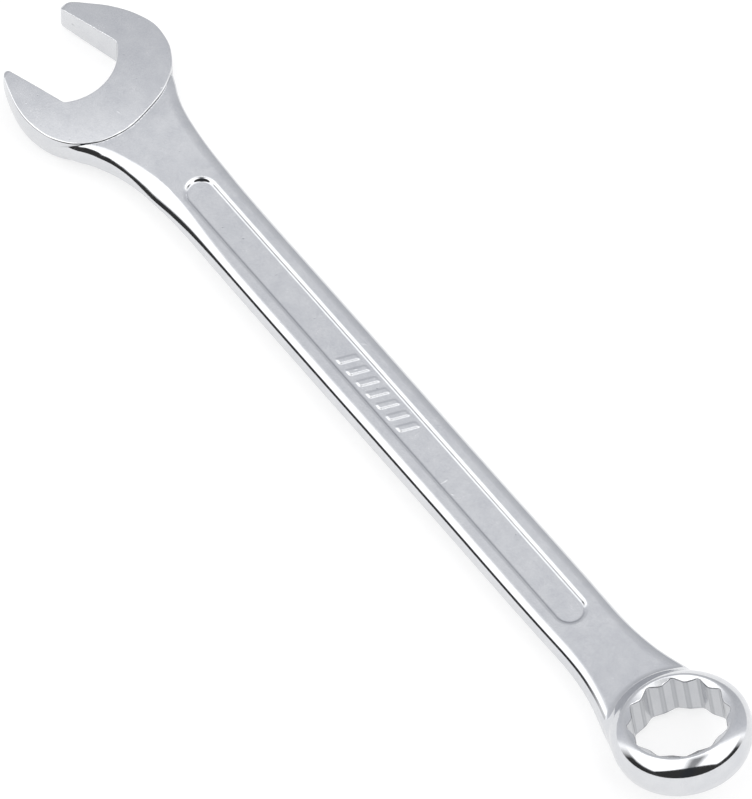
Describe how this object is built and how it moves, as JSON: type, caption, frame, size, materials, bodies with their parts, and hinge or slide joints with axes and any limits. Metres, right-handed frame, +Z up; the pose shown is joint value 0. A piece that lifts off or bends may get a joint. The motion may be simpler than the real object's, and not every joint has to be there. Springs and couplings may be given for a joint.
{
  "type": "combination wrench",
  "caption": "Forged combination wrench: open jaw turned 17 degrees at one end, 12-point ring raised 15 degrees at the other, slender shank with a recessed panel, satin chrome.",
  "frame": {"origin": "middle of the bounding box at the level of the surface the wrench lies on", "axes": "+X along the shank from the open end to the ring, +Y left seen from above, +Z up out of the panel face that the ring rises toward"},
  "size_m": [0.2112, 0.0332, 0.0152],
  "materials": {
    "satin_chrome": "fine satin chrome plating over forged chrome-vanadium steel, polished round the ring's crown"
  },
  "bodies": {
    "root": {"open_end_head": "satin_chrome", "shank": "satin_chrome", "ring_head": "satin_chrome"}
  },
  "joints": []
}
